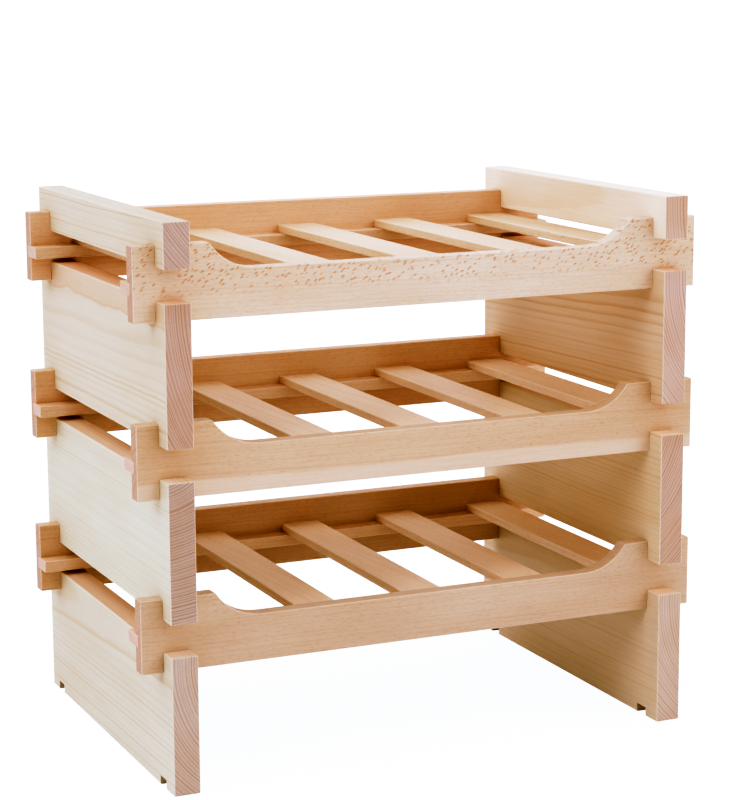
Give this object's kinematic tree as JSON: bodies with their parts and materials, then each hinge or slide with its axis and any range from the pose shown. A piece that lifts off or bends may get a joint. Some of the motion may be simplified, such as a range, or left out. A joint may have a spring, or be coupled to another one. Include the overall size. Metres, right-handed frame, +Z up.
{
  "type": "wine rack",
  "caption": "Stackable wooden wine rack: notched side boards and slatted trays lapped together in tiers, with scalloped front rails and cap boards.",
  "frame": {"origin": "on the floor, at the middle of the rack's footprint", "axes": "+X to the right along the rails, +Y from the scalloped front to the rear along the boards, +Z up"},
  "size_m": [0.543, 0.36, 0.494],
  "materials": {
    "board_wood": "planed bare softwood, matt, with faint growth lines",
    "rail_wood": "planed bare beech, matt, with ray flecks",
    "slat_wood": "planed bare beech, matt, eased edges",
    "screw_steel": "zinc-plated countersunk screw"
  },
  "bodies": {
    "base_boards": {"lower_left_board": "board_wood", "lower_right_board": "board_wood"},
    "lower_tray": {"lower_front_rail": "rail_wood", "lower_rear_rail": "rail_wood", "lower_front_batten": "slat_wood", "lower_rear_batten": "slat_wood", "lower_slat_1": "slat_wood", "lower_slat_2": "slat_wood", "lower_slat_3": "slat_wood", "lower_slat_4": "slat_wood", "lower_slat_5": "slat_wood", "lower_slat_screws": "screw_steel"},
    "middle_left": {"middle_left_board": "board_wood"},
    "middle_right": {"middle_right_board": "board_wood"},
    "middle_tray": {"middle_front_rail": "rail_wood", "middle_rear_rail": "rail_wood", "middle_front_batten": "slat_wood", "middle_rear_batten": "slat_wood", "middle_slat_1": "slat_wood", "middle_slat_2": "slat_wood", "middle_slat_3": "slat_wood", "middle_slat_4": "slat_wood", "middle_slat_5": "slat_wood", "middle_slat_screws": "screw_steel"},
    "upper_left": {"upper_left_board": "board_wood"},
    "upper_right": {"upper_right_board": "board_wood"},
    "upper_tray": {"upper_front_rail": "rail_wood", "upper_rear_rail": "rail_wood", "upper_front_batten": "slat_wood", "upper_rear_batten": "slat_wood", "upper_slat_1": "slat_wood", "upper_slat_2": "slat_wood", "upper_slat_3": "slat_wood", "upper_slat_4": "slat_wood", "upper_slat_5": "slat_wood", "upper_slat_screws": "screw_steel"},
    "left_cap": {"left_cap_board": "board_wood"},
    "right_cap": {"right_cap_board": "board_wood"}
  },
  "joints": [
    {"name": "lower_tray_lift", "type": "slide", "parent": "base_boards", "child": "lower_tray", "axis": [0, 0, 1], "range_m": [0, 0.06]},
    {"name": "middle_left_lift", "type": "slide", "parent": "lower_tray", "child": "middle_left", "axis": [0, 0, 1], "range_m": [0, 0.06]},
    {"name": "middle_right_lift", "type": "slide", "parent": "lower_tray", "child": "middle_right", "axis": [0, 0, 1], "range_m": [0, 0.06]},
    {"name": "middle_tray_lift", "type": "slide", "parent": "middle_left", "child": "middle_tray", "axis": [0, 0, 1], "range_m": [0, 0.06]},
    {"name": "upper_left_lift", "type": "slide", "parent": "middle_tray", "child": "upper_left", "axis": [0, 0, 1], "range_m": [0, 0.06]},
    {"name": "upper_right_lift", "type": "slide", "parent": "middle_tray", "child": "upper_right", "axis": [0, 0, 1], "range_m": [0, 0.06]},
    {"name": "upper_tray_lift", "type": "slide", "parent": "upper_left", "child": "upper_tray", "axis": [0, 0, 1], "range_m": [0, 0.06]},
    {"name": "left_cap_lift", "type": "slide", "parent": "upper_tray", "child": "left_cap", "axis": [0, 0, 1], "range_m": [0, 0.06]},
    {"name": "right_cap_lift", "type": "slide", "parent": "upper_tray", "child": "right_cap", "axis": [0, 0, 1], "range_m": [0, 0.06]}
  ],
  "couplings": [
    {"joint": "middle_right_lift", "follows": "middle_left_lift", "ratio": 1},
    {"joint": "upper_right_lift", "follows": "upper_left_lift", "ratio": 1}
  ]
}
